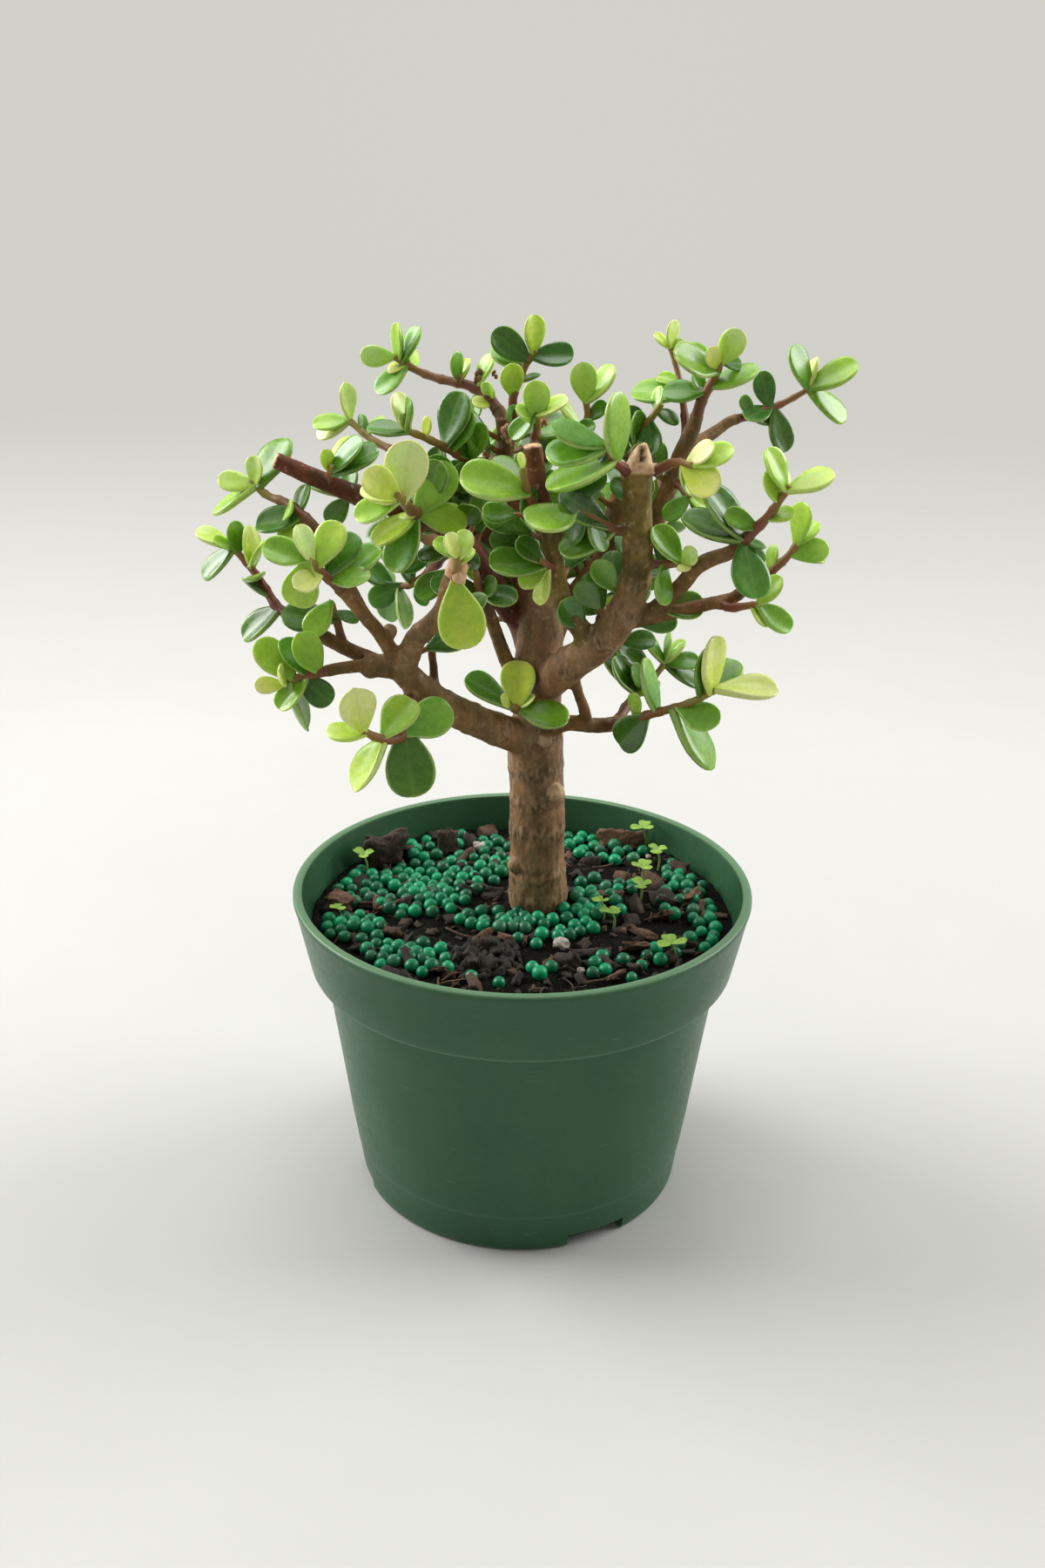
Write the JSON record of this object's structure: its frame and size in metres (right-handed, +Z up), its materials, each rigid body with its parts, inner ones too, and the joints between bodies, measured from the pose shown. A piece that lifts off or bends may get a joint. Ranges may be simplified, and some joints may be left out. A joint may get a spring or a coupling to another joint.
{
  "type": "dwarf jade bonsai",
  "caption": "Small tree-like dwarf jade with a cut-back woody trunk and thick round leaves, growing in a round plastic nursery pot of potting mix.",
  "frame": {"origin": "centre of the pot's underside", "axes": "+Z up through the pot and crown, the pictured front faces -Y"},
  "size_m": [0.1554, 0.1142, 0.2176],
  "materials": {
    "pot": "satin moulded plastic, mid green",
    "mix": "damp loose potting mix, near black",
    "bark": "thin tan bark with fissures and ring scars",
    "leaf": "smooth fleshy leaf with a soft sheen",
    "prill": "coated round feed prill, emerald green",
    "flake": "rough dark bark flake",
    "clover": "thin soft seedling leaf"
  },
  "bodies": {
    "root": {"pot": "pot", "potting_mix": "mix", "trunk_and_limbs": "bark", "shoot_left_rosette": "leaf", "shoot_left_long": "leaf", "shoot_left_side": "leaf", "shoot_left_low": "leaf", "shoot_front_low": "leaf", "shoot_trunk_front": "leaf", "shoot_left_bud": "leaf", "shoot_left_bud_low": "leaf", "shoot_front_rosette": "leaf", "shoot_cut_end": "leaf", "shoot_cut_mid": "leaf", "shoot_left_out": "leaf", "shoot_left_top": "leaf", "shoot_top_left": "leaf", "shoot_top_inner": "leaf", "shoot_top_centre": "leaf", "shoot_olive_top": "leaf", "shoot_olive_low": "leaf", "shoot_olive_mid": "leaf", "shoot_right_top": "leaf", "shoot_right_cap": "leaf", "shoot_right_side": "leaf", "shoot_right_inner": "leaf", "shoot_right_low": "leaf", "shoot_right_long": "leaf", "shoot_right_rise": "leaf", "shoot_right_under": "leaf", "shoot_low_right_back": "leaf", "shoot_low_right": "leaf", "shoot_back_right_top": "leaf", "shoot_back_right_thin": "leaf", "shoot_top_right": "leaf", "shoot_back_right_mid": "leaf", "shoot_right_back_low": "leaf", "shoot_centre_back": "leaf", "shoot_centre_left": "leaf", "shoot_left_upright": "leaf", "shoot_back_a": "leaf", "shoot_back_b": "leaf", "shoot_back_c": "leaf", "shoot_back_d": "leaf", "shoot_back_e": "leaf", "shoot_back_f": "leaf", "shoot_back_g": "leaf", "prills_left": "prill", "prills_front": "prill", "prills_right": "prill", "prills_rim": "prill", "bark_back_left": "flake", "bark_left": "flake", "bark_grey": "flake", "bark_back_right": "flake", "clover_left": "clover", "clover_right": "clover", "clover_front": "clover"}
  },
  "joints": []
}
